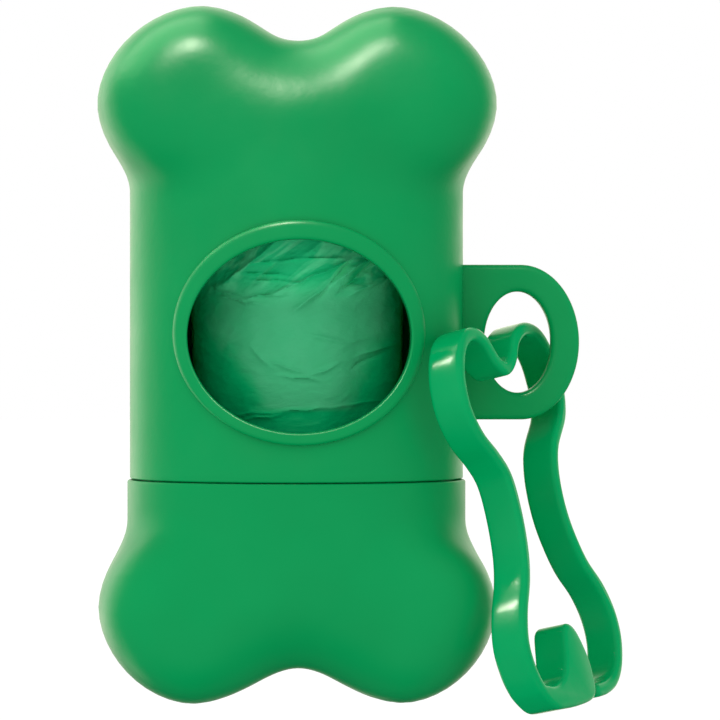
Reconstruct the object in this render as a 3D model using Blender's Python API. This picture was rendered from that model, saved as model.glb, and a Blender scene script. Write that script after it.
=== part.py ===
"""Bone-shaped dispenser for dog-waste bags, with a bone-shaped hanging clip.

Metres, +Z up. The front, with the dispensing window, faces -Y and the lug is on the +X side.
The dispenser hangs by its lug, so the world's origin is the middle of the lug's eye. The sizes
below are in the body's own frame instead: its axis is Z, and its lower lobes touch Z = 0.
Run with: blender --background --python part.py
"""

import math

import bmesh
import bpy
import numpy as np
from mathutils import Matrix, Vector

MM = 0.001

# --- Body: an oval column with two round lobes at each end -----------------------------------
HALF_WIDTH = 20.4 * MM
HALF_DEPTH = 18.3 * MM
COLUMN_POWER = 2.03  # 2 is an ellipse, more is squarer
LOBE_DEPTH = 17.0 * MM
LOBE_POWER = 1.83  # seen from the front
LOBE_FRONT_POWER = 3.2  # from front to back, where the lobes are flatter
UPPER_LOBE_X = 11.65 * MM
UPPER_LOBE_Z = 72.85 * MM
UPPER_LOBE_HALF_WIDTH = 12.65 * MM
UPPER_LOBE_HALF_HEIGHT = 11.85 * MM
UPPER_END_Z = 79.9 * MM  # the bottom of the dip between the lobes
UPPER_DIP_HEIGHT = 2.5 * MM  # how far the column's end rises beside the dip
UPPER_DIP_WIDTH = 8.8 * MM
LOWER_LOBE_X = 12.7 * MM
LOWER_LOBE_Z = 11.8 * MM
LOWER_LOBE_HALF_WIDTH = 11.45 * MM
LOWER_LOBE_HALF_HEIGHT = 11.65 * MM
LOWER_END_Z = 4.75 * MM
LOWER_DIP_HEIGHT = 4.2 * MM
LOWER_DIP_WIDTH = 6.6 * MM
END_ROUNDING = 10.0 * MM
LOBE_BLEND = 5.2 * MM  # how softly the lobes run into each other
NECK_BLEND = 2.1 * MM  # and into the column
WALL = 1.8 * MM
UPPER_DOME_Z = 68.0 * MM  # above this the skin is one closed dome, below it rings
LOWER_DOME_Z = 16.0 * MM

# --- Split line and push fit ------------------------------------------------------------------
SEAM_Z = 27.2 * MM
SEAM_GAP = 0.35 * MM
CAP_PROUD = 0.3 * MM
SPIGOT_LENGTH = 5.0 * MM
SPIGOT_SET_IN = 1.0 * MM
SPIGOT_WALL = 0.9 * MM
FIT_GAP = 0.3 * MM
REBATE_DEPTH = 5.6 * MM

# --- Dispensing window ------------------------------------------------------------------------
WINDOW_Z = 44.6 * MM
WINDOW_HALF_WIDTH = 13.3 * MM
WINDOW_HALF_HEIGHT = 11.4 * MM
RIM_Z = 44.9 * MM  # the rim is wider above the window than below it
RIM_HALF_WIDTH = 14.9 * MM
RIM_HALF_HEIGHT = 13.0 * MM
RIM_HEIGHT = 1.0 * MM
RIM_SOFTENING = 0.3 * MM
RIM_OVERLAP = 0.6 * MM  # the rim is made this much too narrow inside, and the window trims it
CUTTER_CLEARANCE = 5.0 * MM
CUTTER_DEPTH_Y = 6.0 * MM

# --- Lug with its eye -------------------------------------------------------------------------
LUG_Z = 44.0 * MM
LUG_HALF_HEIGHT = 9.5 * MM
LUG_ROOT_X = 19.5 * MM
LUG_STRAIGHT_X = 27.5 * MM
LUG_END_RADIUS = 7.2 * MM
LUG_HALF_THICKNESS = 1.25 * MM
LUG_EDGE = 0.7 * MM
EYE_X = 27.1 * MM
EYE_HALF_WIDTH = 4.1 * MM
EYE_HALF_HEIGHT = 6.2 * MM

# --- Bag roll ---------------------------------------------------------------------------------
ROLL_BOTTOM_Z = 10.0 * MM
ROLL_LENGTH = 57.0 * MM
ROLL_RADIUS = 11.6 * MM
CORE_RADIUS = 5.0 * MM
CORE_WALL = 1.0 * MM
CORE_EDGE = 0.15 * MM
ROLL_EDGE = 0.4 * MM
LEADING_BAG_GAP = 0.35 * MM
LEADING_BAG_THICKNESS = 0.45 * MM
LEADING_BAG_HALF_ANGLE = 62.0
LEADING_BAG_LENGTH = 50.0 * MM

# --- Clip: a flat strip bent on edge round a bone outline ------------------------------------
CLIP_CENTRE = (27.8 * MM, -7.1 * MM, 22.9 * MM)
CLIP_LEAN = 13.4  # degrees from upright, lower end away from the body
CLIP_TURN = 60.0  # degrees between the lug's plane and the loop's plane
CLIP_TIP = 2.0
STRIP_WIDTH = 4.5 * MM
STRIP_THICKNESS = 1.7 * MM
STRIP_EDGE = 0.45 * MM
GATE_TIP = 0.4 * MM  # how far the rounded end stands out
SWING_POINT = (26.2 * MM, 0.0, 45.2 * MM)  # where the strip passes through the eye

# Middle line of the strip in the loop's own plane, in millimetres: (across, along).
# The frame runs from the root of the gate over both upper lobes and down the near strand.
FRAME_LINE = (
    (8.0, 7.8), (11.6, 10.7), (13.2, 14.4), (12.8, 18.3), (10.8, 21.3), (7.3, 22.3), (4.0, 21.2),
    (1.9, 19.0), (-0.5, 18.0), (-2.8, 19.3), (-4.6, 21.8), (-7.4, 22.9), (-10.7, 21.7),
    (-12.9, 18.4), (-13.3, 14.5), (-11.7, 10.9), (-8.8, 8.0), (-6.9, 5.2), (-6.6, 1.0),
    (-7.3, -3.6), (-8.8, -7.0), (-11.4, -10.5), (-12.9, -14.0), (-12.6, -17.4), (-11.0, -20.3),
    (-8.7, -22.1),
)
# The hooked head at the near strand's end, round its outside from the lobe to the pocket.
HEAD_OUTLINE = (
    (-6.0, -23.1), (-3.0, -23.35), (0.4, -23.4), (1.8, -23.2), (2.3, -22.4), (2.4, -20.4),
    (2.3, -18.1), (1.5, -16.3), (0.6, -14.3), (-0.9, -13.45), (-2.4, -14.5), (-3.6, -16.9),
    (-4.6, -19.8), (-5.8, -20.9), (-7.3, -21.1),
)
# The springy strand, from its root down to the end that meets the head.
GATE_LINE = (
    (7.67, 7.38), (6.45, 5.25), (5.75, 2.2), (5.85, -1.2), (6.8, -4.5), (8.35, -7.6), (11.0, -10.8),
    (12.5, -14.2), (12.5, -17.4), (11.0, -20.3), (8.8, -22.0), (6.2, -22.55), (3.65, -22.5),
)

# --- Fineness of the meshes, and how far rays are followed to find the body's surface ---------
BODY_CELLS = 16  # cells along each side of a dome's square grid, so a ring has four times as many
WINDOW_POINTS = 64
ROLL_POINTS = 48
LONGEST_REACH = 45.0 * MM
SEARCH_STEPS = 40

GREEN = (0.0, 0.345, 0.095, 1.0)
CLIP_GREEN = (0.0, 0.36, 0.10, 1.0)
FILM_GREEN = (0.10, 0.46, 0.21, 1.0)
BOARD_BROWN = (0.42, 0.31, 0.20, 1.0)


# --- Helpers ----------------------------------------------------------------------------------
def clear_scene():
    for obj in list(bpy.data.objects):
        bpy.data.objects.remove(obj, do_unlink=True)


def plastic(name, colour, roughness):
    material = bpy.data.materials.new(name)
    material.use_nodes = True
    shader = material.node_tree.nodes["Principled BSDF"]
    shader.inputs["Base Color"].default_value = colour
    shader.inputs["Roughness"].default_value = roughness
    material.diffuse_color = colour
    return material


def object_from(name, points, faces, material=None):
    mesh = bpy.data.meshes.new(name)
    mesh.from_pydata([tuple(map(float, p)) for p in points], [], [tuple(map(int, f)) for f in faces])
    work = bmesh.new()
    work.from_mesh(mesh)
    bmesh.ops.remove_doubles(work, verts=work.verts, dist=1e-7)
    bmesh.ops.recalc_face_normals(work, faces=work.faces)
    work.to_mesh(mesh)
    work.free()
    mesh.shade_smooth()
    mesh.set_sharp_from_angle(angle=math.radians(40))
    obj = bpy.data.objects.new(name, mesh)
    bpy.context.scene.collection.objects.link(obj)
    if material:
        mesh.materials.append(material)
    return obj


def boolean(target, other, operation):
    other.hide_render = True
    other.display_type = "WIRE"
    modifier = target.modifiers.new(other.name, "BOOLEAN")
    modifier.object = other
    modifier.operation = operation
    modifier.solver = "EXACT"


def smooth_line(points, steps=6):
    """A Catmull-Rom curve through the points, with this many steps between each two."""
    points = np.asarray(points, float)
    first = 2 * points[0] - points[1]
    last = 2 * points[-1] - points[-2]
    padded = np.vstack([first, points, last])
    line = []
    for a, b, c, d in zip(padded, padded[1:], padded[2:], padded[3:]):
        for t in np.arange(steps) / steps:
            line.append(
                0.5 * (2 * b + (c - a) * t + (2 * a - 5 * b + 4 * c - d) * t**2
                       + (3 * b - a - 3 * c + d) * t**3)
            )
    line.append(points[-1])
    return np.array(line)


def strip_sides(line, thickness):
    """The two edges of a strip of this thickness whose middle runs along the line."""
    along = np.gradient(line, axis=0)
    along /= np.linalg.norm(along, axis=1)[:, None]
    across = np.stack([along[:, 1], -along[:, 0]], axis=1)
    return line - across * thickness / 2, line + across * thickness / 2


# --- Body shape as a distance-like field ------------------------------------------------------
def soft_least(a, b, softness):
    near = np.maximum(softness - np.abs(a - b), 0) / softness
    return np.minimum(a, b) - near * near * softness / 4


def lobe_field(p, centre_x, centre_z, half_width, half_height):
    across = np.abs(p[..., 0] - centre_x) / half_width
    up = np.abs(p[..., 2] - centre_z) / half_height
    deep = np.abs(p[..., 1]) / LOBE_DEPTH
    seen = (across**LOBE_POWER + up**LOBE_POWER) ** (LOBE_FRONT_POWER / LOBE_POWER)
    return ((seen + deep**LOBE_FRONT_POWER) ** (1 / LOBE_FRONT_POWER) - 1) * half_width


def column_field(p, end_z, dip_height, dip_width, grow, up):
    """The oval column, its round end dipping in the middle to end_z. It is grow wider; up says which end."""
    oval = (
        (np.abs(p[..., 0]) / (HALF_WIDTH + grow)) ** COLUMN_POWER
        + (np.abs(p[..., 1]) / (HALF_DEPTH + grow)) ** COLUMN_POWER
    ) ** (1 / COLUMN_POWER)
    side = (oval - 1) * HALF_DEPTH
    beside = (p[..., 0] / dip_width) ** 2
    end = (p[..., 2] - end_z) * up - dip_height * beside / (1 + beside)
    inside = np.maximum(side, end)
    corner = np.hypot(np.maximum(side + END_ROUNDING, 0), np.maximum(end + END_ROUNDING, 0))
    return np.where(
        (side > -END_ROUNDING) & (end > -END_ROUNDING), corner - END_ROUNDING, inside
    )


def body_field(p, lobe, column):
    lobes = soft_least(lobe_field(p, *lobe), lobe_field(p, -lobe[0], *lobe[1:]), LOBE_BLEND)
    return soft_least(lobes, column_field(p, *column), NECK_BLEND)


def upper_field(p):
    lobe = (UPPER_LOBE_X, UPPER_LOBE_Z, UPPER_LOBE_HALF_WIDTH, UPPER_LOBE_HALF_HEIGHT)
    return body_field(p, lobe, (UPPER_END_Z, UPPER_DIP_HEIGHT, UPPER_DIP_WIDTH, 0.0, 1))


def lower_field(p):
    lobe = (LOWER_LOBE_X, LOWER_LOBE_Z, LOWER_LOBE_HALF_WIDTH, LOWER_LOBE_HALF_HEIGHT)
    return body_field(p, lobe, (LOWER_END_Z, LOWER_DIP_HEIGHT, LOWER_DIP_WIDTH, CAP_PROUD, -1))


def reach_of(field, origins, directions, level):
    """How far along each ray the field first rises to the level."""
    low = np.zeros(len(origins))
    high = np.full(len(origins), LONGEST_REACH)
    for _ in range(SEARCH_STEPS):
        middle = (low + high) / 2
        inside = field(origins + directions * middle[:, None]) < level
        low = np.where(inside, middle, low)
        high = np.where(inside, high, middle)
    return low


def ring_angles(side):
    """Directions round the axis that match the border of a square grid with this many cells a side."""
    steps = np.arange(side) / side * 2 - 1
    border = [(1, t) for t in steps] + [(-t, 1) for t in steps]
    border += [(-1, -t) for t in steps] + [(t, -1) for t in steps]
    return np.array([disc_of(x, y) for x, y in border])


def disc_of(x, y):
    """A square's point moved to where it lies on the round disc."""
    if x == 0 and y == 0:
        return (0.0, 0.0)
    if abs(x) >= abs(y):
        turn = math.pi / 4 * y / x
        return (x * math.cos(turn), x * math.sin(turn))
    turn = math.pi / 4 * x / y
    return (y * math.sin(turn), y * math.cos(turn))


def wall_rows(field, side, heights, level):
    """Rings of points on the field's surface at these heights, and at this level."""
    around = ring_angles(side)
    rows = []
    for z in heights:
        origins = np.tile([0.0, 0.0, z], (len(around), 1))
        directions = np.column_stack([around, np.zeros(len(around))])
        reach = reach_of(field, origins, directions, level)
        rows.append(origins + directions * reach[:, None])
    return rows


def dome_grid(field, side, base_z, up, level):
    """A square grid of points over the closed end, whose border is the ring at base_z."""
    points = []
    for j in range(side + 1):
        for i in range(side + 1):
            x, y = disc_of(i / side * 2 - 1, j / side * 2 - 1)
            out = math.hypot(x, y)
            level_share = math.sin(out * math.pi / 2) / max(out, 1e-9)
            points.append((x * level_share, y * level_share, math.cos(out * math.pi / 2) * up))
    directions = np.array(points)
    origins = np.tile([0.0, 0.0, base_z], (len(directions), 1))
    reach = reach_of(field, origins, directions, level)
    return origins + directions * reach[:, None]


def border_of(side):
    """The dome grid's border, in the order of ring_angles."""
    row = side + 1
    right = [j * row + side for j in range(side)]
    top = [side * row + side - i for i in range(side)]
    left = [(side - j) * row for j in range(side)]
    bottom = list(range(side))
    return right + top + left + bottom


def skin(rows, dome, side):
    """Points and faces of one skin: the rings, closed by the dome after the last of them."""
    count = 4 * side
    points = np.vstack(rows + [dome])
    faces = []
    for r in range(len(rows) - 1):
        for k in range(count):
            n = (k + 1) % count
            faces.append((r * count + k, r * count + n, (r + 1) * count + n, (r + 1) * count + k))
    start = len(rows) * count
    border = [start + b for b in border_of(side)]
    last = (len(rows) - 1) * count
    for k in range(count):
        n = (k + 1) % count
        faces.append((last + k, last + n, border[n], border[k]))
    row = side + 1
    for j in range(side):
        for i in range(side):
            a = start + j * row + i
            faces.append((a, a + 1, a + row + 1, a + row))
    return points, faces


def shell_of(name, field, outer, inner, base_z, up, wall, material):
    """A shell: outer and inner skins, each a list of (height, level) rings, joined at their first rings."""
    side = BODY_CELLS
    outer_rows = [wall_rows(field, side, [z], level)[0] for z, level in outer]
    inner_rows = [wall_rows(field, side, [z], level)[0] for z, level in inner]
    outer_points, outer_faces = skin(outer_rows, dome_grid(field, side, base_z, up, 0.0), side)
    inner_points, inner_faces = skin(inner_rows, dome_grid(field, side, base_z, up, -wall), side)
    shift = len(outer_points)
    faces = outer_faces + [tuple(i + shift for i in face) for face in inner_faces]
    count = 4 * side
    for k in range(count):
        n = (k + 1) % count
        faces.append((k, n, shift + n, shift + k))
    return object_from(name, np.vstack([outer_points, inner_points]), faces, material)


# --- Parts ------------------------------------------------------------------------------------
def empty_at(name, place):
    empty = bpy.data.objects.new(name, None)
    empty.location = place
    bpy.context.scene.collection.objects.link(empty)
    return empty


def make_upper_shell(material):
    foot_z = SEAM_Z + SEAM_GAP
    spigot_z = SEAM_Z - SPIGOT_LENGTH
    inner_level = -(SPIGOT_SET_IN + SPIGOT_WALL)
    outer = [(spigot_z, -SPIGOT_SET_IN), (foot_z, -SPIGOT_SET_IN), (foot_z, 0.0)]
    outer += [(z, 0.0) for z in np.linspace(foot_z, UPPER_DOME_Z, 13)[1:-1]]
    inner = [(spigot_z, inner_level)]
    inner += [(z, inner_level) for z in np.linspace(foot_z, UPPER_DOME_Z, 10)[:-1]]
    shell = shell_of(
        "upper_shell", upper_field, outer, inner, UPPER_DOME_Z, 1, -inner_level, material
    )
    boolean(shell, make_lug(), "UNION")
    boolean(shell, make_window_rim(), "UNION")
    boolean(shell, make_window_cutter(), "DIFFERENCE")
    return shell


def front_depth(x, z, level):
    """The Y of the front surface at this place across and up."""
    origins = np.column_stack([x, np.zeros(len(x)), z])
    directions = np.tile([0.0, -1.0, 0.0], (len(x), 1))
    return -reach_of(upper_field, origins, directions, level)


def make_window_rim():
    """The raised band round the window, sunk into the wall so that it joins it."""
    turns = np.linspace(0, 2 * math.pi, WINDOW_POINTS, endpoint=False)
    inside = (WINDOW_HALF_WIDTH - RIM_OVERLAP, WINDOW_HALF_HEIGHT - RIM_OVERLAP, WINDOW_Z)
    outside = (RIM_HALF_WIDTH, RIM_HALF_HEIGHT, RIM_Z)
    corners = (
        (outside, -WALL / 2, 0.0),
        (outside, RIM_HEIGHT - RIM_SOFTENING, 0.0),
        (outside, RIM_HEIGHT, -RIM_SOFTENING),
        (inside, RIM_HEIGHT, 0.0),
        (inside, -WALL / 2, 0.0),
    )
    points = []
    for (half_width, half_height, middle_z), level, grow in corners:
        x = (half_width + grow) * np.cos(turns)
        z = middle_z + (half_height + grow) * np.sin(turns)
        points.append(np.column_stack([x, front_depth(x, z, level), z]))
    count = len(turns)
    faces = []
    for r in range(len(corners)):
        s = (r + 1) % len(corners)
        for k in range(count):
            n = (k + 1) % count
            faces.append((r * count + k, r * count + n, s * count + n, s * count + k))
    return object_from("window_rim_form", np.vstack(points), faces)


def make_window_cutter():
    count = WINDOW_POINTS
    turns = np.linspace(0, 2 * math.pi, count, endpoint=False)
    x = WINDOW_HALF_WIDTH * np.cos(turns)
    z = WINDOW_Z + WINDOW_HALF_HEIGHT * np.sin(turns)
    front = np.column_stack([x, np.full(count, -HALF_DEPTH - CUTTER_CLEARANCE), z])
    back = np.column_stack([x, np.full(count, -CUTTER_DEPTH_Y), z])
    faces = [(k, (k + 1) % count, count + (k + 1) % count, count + k) for k in range(count)]
    faces += [tuple(range(count)), tuple(reversed(range(count, 2 * count)))]
    return object_from("window_cutter", np.vstack([front, back]), faces)


def lug_outline():
    """Points round the lug's outside: up the root, over the top, round the end and back below."""
    root = [(LUG_ROOT_X, t * LUG_HALF_HEIGHT) for t in np.linspace(-1, 1, 7)[:-1]]
    top = [(x, LUG_HALF_HEIGHT) for x in np.linspace(LUG_ROOT_X, LUG_STRAIGHT_X, 7)[:-1]]
    end = [
        (LUG_STRAIGHT_X + LUG_END_RADIUS * math.sin(t), LUG_HALF_HEIGHT * math.cos(t))
        for t in np.linspace(0, math.pi, 25)
    ]
    below = [(x, -LUG_HALF_HEIGHT) for x in np.linspace(LUG_STRAIGHT_X, LUG_ROOT_X, 7)[1:-1]]
    return np.array(root + top + end + below)


def make_lug():
    outline = lug_outline()
    middle = np.array([EYE_X, 0.0])
    away = outline - middle
    turns = np.arctan2(away[:, 1] / EYE_HALF_HEIGHT, away[:, 0] / EYE_HALF_WIDTH)
    eye = middle + np.column_stack([EYE_HALF_WIDTH * np.cos(turns), EYE_HALF_HEIGHT * np.sin(turns)])
    out = outline - eye
    out /= np.linalg.norm(out, axis=1)[:, None]
    half = LUG_HALF_THICKNESS
    edge = LUG_EDGE
    slope = edge * (1 - math.sqrt(0.5))
    section = [
        (eye, half - edge), (eye + out * slope, half - slope), (eye + out * edge, half),
        (outline - out * edge, half), (outline - out * slope, half - slope), (outline, half - edge),
    ]
    section += [(loop, -y) for loop, y in reversed(section)]
    count = len(outline)
    points = [
        np.column_stack([loop[:, 0], np.full(count, -y), LUG_Z + loop[:, 1]]) for loop, y in section
    ]
    faces = []
    for r in range(len(section)):
        s = (r + 1) % len(section)
        for k in range(count):
            n = (k + 1) % count
            faces.append((r * count + k, r * count + n, s * count + n, s * count + k))
    return object_from("lug_form", np.vstack(points), faces)


def make_lower_cap(material):
    rim_z = SEAM_Z
    rebate_z = SEAM_Z - REBATE_DEPTH
    rebate_level = -(SPIGOT_SET_IN - FIT_GAP + CAP_PROUD)
    outer = [(rim_z, 0.0)] + [(z, 0.0) for z in np.linspace(rim_z, LOWER_DOME_Z, 6)[1:-1]]
    inner = [(rim_z, rebate_level), (rebate_z, rebate_level), (rebate_z, -WALL - CAP_PROUD)]
    inner += [(z, -WALL - CAP_PROUD) for z in np.linspace(rebate_z, LOWER_DOME_Z, 4)[1:-1]]
    return shell_of(
        "lower_cap", lower_field, outer, inner, LOWER_DOME_Z, -1, WALL + CAP_PROUD, material
    )


def turned_ring(name, outer_radius, inner_radius, edge, material):
    """A tube as long as the roll, round the Z axis, with softened outer edges."""
    bottom = ROLL_BOTTOM_Z
    top = ROLL_BOTTOM_Z + ROLL_LENGTH
    steps = ROLL_POINTS
    profile = [
        (outer_radius - edge, top), (outer_radius, top - edge),
        (outer_radius, bottom + edge), (outer_radius - edge, bottom),
        (inner_radius, bottom), (inner_radius, top),
    ]
    turns = np.linspace(0, 2 * math.pi, steps, endpoint=False)
    points = [(r * math.cos(t), r * math.sin(t), z) for r, z in profile for t in turns]
    faces = []
    for r in range(len(profile)):
        s = (r + 1) % len(profile)
        for k in range(steps):
            n = (k + 1) % steps
            faces.append((r * steps + k, r * steps + n, s * steps + n, s * steps + k))
    return object_from(name, points, faces, material)


def make_leading_bag(material):
    """The loose end of the film: a thin curved panel over the front of the roll."""
    inner = ROLL_RADIUS + LEADING_BAG_GAP
    outer = inner + LEADING_BAG_THICKNESS
    turns = np.radians(np.linspace(-LEADING_BAG_HALF_ANGLE, LEADING_BAG_HALF_ANGLE, 25) - 90)
    middle = ROLL_BOTTOM_Z + ROLL_LENGTH / 2
    low = middle - LEADING_BAG_LENGTH / 2
    high = middle + LEADING_BAG_LENGTH / 2
    loops = [(inner, low), (outer, low), (outer, high), (inner, high)]
    points = [(r * math.cos(t), r * math.sin(t), z) for r, z in loops for t in turns]
    count = len(turns)
    faces = []
    for r in range(4):
        s = (r + 1) % 4
        for k in range(count - 1):
            faces.append((r * count + k, r * count + k + 1, s * count + k + 1, s * count + k))
    faces += [tuple(r * count for r in range(4)), tuple((r + 1) * count - 1 for r in range(4))]
    return object_from("leading_bag", points, faces, material)


def clip_axes():
    """The loop's own axes in the world: across it, along it towards the lug, and through it."""
    lean = math.radians(CLIP_LEAN)
    turn = math.radians(CLIP_TURN)
    tip = math.radians(CLIP_TIP)
    upright = Vector((-math.sin(lean), 0, math.cos(lean)))
    side = Vector((math.cos(lean), 0, math.sin(lean)))
    back = Vector((0, 1, 0))
    along = upright * math.cos(tip) + back * math.sin(tip)
    level_back = back * math.cos(tip) - upright * math.sin(tip)
    across = side * math.cos(turn) + level_back * math.sin(turn)
    return across, along, across.cross(along)


def extruded_outline(name, outline, origin, matrix, material):
    """A solid of the strip's width from an outline in the loop's plane, with its long edges rounded."""
    count = len(outline)
    flat = (np.asarray(outline) - np.asarray(origin)) * MM
    half = STRIP_WIDTH / 2
    points = [(x, y, -half) for x, y in flat] + [(x, y, half) for x, y in flat]
    faces = [(k, (k + 1) % count, count + (k + 1) % count, count + k) for k in range(count)]
    faces += [tuple(reversed(range(count))), tuple(range(count, 2 * count))]
    obj = object_from(name, points, faces, material)
    obj.matrix_world = matrix @ Matrix.Translation(Vector((origin[0], origin[1], 0)) * MM)
    bevel = obj.modifiers.new("edges", "BEVEL")
    bevel.width = STRIP_EDGE
    bevel.segments = 2
    bevel.limit_method = "ANGLE"
    bevel.angle_limit = math.radians(60)
    return obj


def frame_outline():
    line = smooth_line(FRAME_LINE, 4)
    left, right = strip_sides(line, STRIP_THICKNESS / MM)
    head = smooth_line([right[-1], *HEAD_OUTLINE, left[-1]], 2)[1:-1]
    return np.vstack([right, head, left[::-1]])


def gate_outline():
    line = smooth_line(GATE_LINE, 4)
    left, right = strip_sides(line, STRIP_THICKNESS / MM)
    end = line[-1] - line[-2]
    tip = line[-1] + end / np.linalg.norm(end) * GATE_TIP / MM
    return np.vstack([right, tip, left[::-1]])


def make_clip(material):
    across, along, through = clip_axes()
    matrix = Matrix.Translation(CLIP_CENTRE) @ Matrix(
        [[across[i], along[i], through[i]] for i in range(3)]
    ).to_4x4()
    frame = extruded_outline("clip_body", frame_outline(), (0.0, 0.0), matrix, material)
    gate = extruded_outline("clip_gate", gate_outline(), GATE_LINE[0], matrix, material)
    pivot = empty_at("clip_swing_axis", SWING_POINT)
    bpy.context.view_layer.update()
    for obj, parent in ((frame, pivot), (gate, frame)):
        place = obj.matrix_world.copy()
        obj.parent = parent
        obj.matrix_parent_inverse = parent.matrix_world.inverted()
        obj.matrix_world = place
    return frame, gate


def main():
    clear_scene()
    shell_plastic = plastic("shell_plastic", GREEN, 0.38)
    clip_plastic = plastic("clip_plastic", CLIP_GREEN, 0.28)
    film = plastic("bag_film", FILM_GREEN, 0.35)
    board = plastic("core_board", BOARD_BROWN, 0.85)
    make_upper_shell(shell_plastic)
    make_lower_cap(shell_plastic.copy())
    turned_ring("bag_roll", ROLL_RADIUS, CORE_RADIUS + FIT_GAP, ROLL_EDGE, film)
    turned_ring("roll_core", CORE_RADIUS, CORE_RADIUS - CORE_WALL, CORE_EDGE, board)
    make_leading_bag(film.copy())
    make_clip(clip_plastic)
    hanger = empty_at("lug_eye_centre", (-EYE_X, 0.0, -LUG_Z))
    for obj in list(bpy.context.scene.objects):
        if obj.parent is None and obj is not hanger:
            obj.parent = hanger


main()
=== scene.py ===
"""Looks for a bone-shaped dispenser of dog-waste bags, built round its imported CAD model.

The world's origin is the middle of the lug's eye. The sizes below are in the body's own frame,
whose axis is Z and whose lower lobes end near Z = 0, so every finished mesh is moved by TO_WORLD.
"""

import math

import bmesh
import bpy
import numpy as np
from mathutils import Matrix, Vector, noise

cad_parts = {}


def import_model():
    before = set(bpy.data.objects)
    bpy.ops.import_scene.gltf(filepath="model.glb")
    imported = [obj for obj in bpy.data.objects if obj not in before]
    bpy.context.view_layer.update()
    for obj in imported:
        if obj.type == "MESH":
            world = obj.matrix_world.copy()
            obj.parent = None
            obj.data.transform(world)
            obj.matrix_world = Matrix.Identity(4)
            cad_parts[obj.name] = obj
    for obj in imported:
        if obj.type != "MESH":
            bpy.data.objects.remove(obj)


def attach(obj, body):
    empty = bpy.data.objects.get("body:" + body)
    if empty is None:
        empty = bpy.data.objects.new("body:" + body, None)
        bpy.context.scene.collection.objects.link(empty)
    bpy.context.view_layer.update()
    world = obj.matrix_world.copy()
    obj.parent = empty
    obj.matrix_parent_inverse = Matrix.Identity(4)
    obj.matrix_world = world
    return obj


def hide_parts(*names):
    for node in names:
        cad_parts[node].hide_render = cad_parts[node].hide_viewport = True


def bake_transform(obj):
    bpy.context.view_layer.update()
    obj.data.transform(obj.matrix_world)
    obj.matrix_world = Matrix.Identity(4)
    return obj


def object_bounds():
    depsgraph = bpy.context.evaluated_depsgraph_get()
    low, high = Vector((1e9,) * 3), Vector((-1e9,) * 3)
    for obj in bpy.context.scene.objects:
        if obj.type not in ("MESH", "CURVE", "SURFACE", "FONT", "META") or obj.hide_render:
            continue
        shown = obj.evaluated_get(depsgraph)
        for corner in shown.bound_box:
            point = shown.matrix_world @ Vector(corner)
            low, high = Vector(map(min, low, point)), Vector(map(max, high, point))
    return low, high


MM = 0.001

# --- Body: an oval column with two round lobes at each end ------------------------------------
HALF_WIDTH = 20.4 * MM
HALF_DEPTH = 18.3 * MM
COLUMN_POWER = 2.03  # 2 is an ellipse, more is squarer
LOBE_DEPTH = 17.0 * MM
LOBE_POWER = 1.83  # seen from the front
LOBE_FRONT_POWER = 3.2  # from front to back, where the lobes are flatter
UPPER_LOBE_X = 11.65 * MM
UPPER_LOBE_Z = 72.85 * MM
UPPER_LOBE_HALF_WIDTH = 12.65 * MM
UPPER_LOBE_HALF_HEIGHT = 11.85 * MM
UPPER_END_Z = 79.9 * MM  # the bottom of the dip between the lobes
UPPER_DIP_HEIGHT = 2.5 * MM  # how far the column's end rises beside the dip
UPPER_DIP_WIDTH = 8.8 * MM
LOWER_LOBE_X = 12.7 * MM
LOWER_LOBE_Z = 11.8 * MM
LOWER_LOBE_HALF_WIDTH = 11.45 * MM
LOWER_LOBE_HALF_HEIGHT = 11.65 * MM
LOWER_END_Z = 4.75 * MM
LOWER_DIP_HEIGHT = 4.2 * MM
LOWER_DIP_WIDTH = 6.6 * MM
END_ROUNDING = 10.0 * MM
LOBE_BLEND = 5.2 * MM  # how softly the lobes run into each other
NECK_BLEND = 2.1 * MM  # and into the column
WALL = 1.8 * MM
UPPER_DOME_Z = 68.0 * MM
LOWER_DOME_Z = 16.0 * MM
LONGEST_REACH = 45.0 * MM
SEARCH_STEPS = 34
BODY_CELLS = 56

# --- Split line and push fit ------------------------------------------------------------------
SEAM_Z = 27.2 * MM
SEAM_GAP = 0.12 * MM
CAP_PROUD = 0.3 * MM
SPIGOT_LENGTH = 5.0 * MM
SPIGOT_SET_IN = 1.0 * MM
SPIGOT_WALL = 0.9 * MM
SPIGOT_CHAMFER = 0.2 * MM
SPIGOT_CHAMFER_HEIGHT = 0.3 * MM
FIT_GAP = 0.3 * MM
REBATE_DEPTH = 5.6 * MM
EDGE_SOFTENING = 0.22 * MM

# --- Dispensing window ------------------------------------------------------------------------
WINDOW_Z = 44.6 * MM
WINDOW_HALF_WIDTH = 13.3 * MM
WINDOW_HALF_HEIGHT = 11.4 * MM
RIM_Z = 45.0 * MM  # the rim is wider above the window than below it
RIM_HALF_WIDTH = 15.05 * MM
RIM_HALF_HEIGHT = 13.25 * MM
RIM_HEIGHT = 0.9 * MM
RIM_COVER = 0.7 * MM  # the shell is cut this far under the rim

# --- Lug --------------------------------------------------------------------------------------
LUG_Z = 44.0 * MM
LUG_HALF_HEIGHT = 9.5 * MM
LUG_ROOT_X = 19.2 * MM
LUG_STRAIGHT_X = 27.5 * MM
LUG_END_RADIUS = 7.2 * MM
LUG_HALF_THICKNESS = 1.25 * MM
LUG_EDGE = 0.75 * MM
EYE_X = 27.1 * MM
EYE_HALF_WIDTH = 4.1 * MM
EYE_HALF_HEIGHT = 6.2 * MM

TO_WORLD = Matrix.Translation((-EYE_X, 0.0, -LUG_Z))

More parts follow.
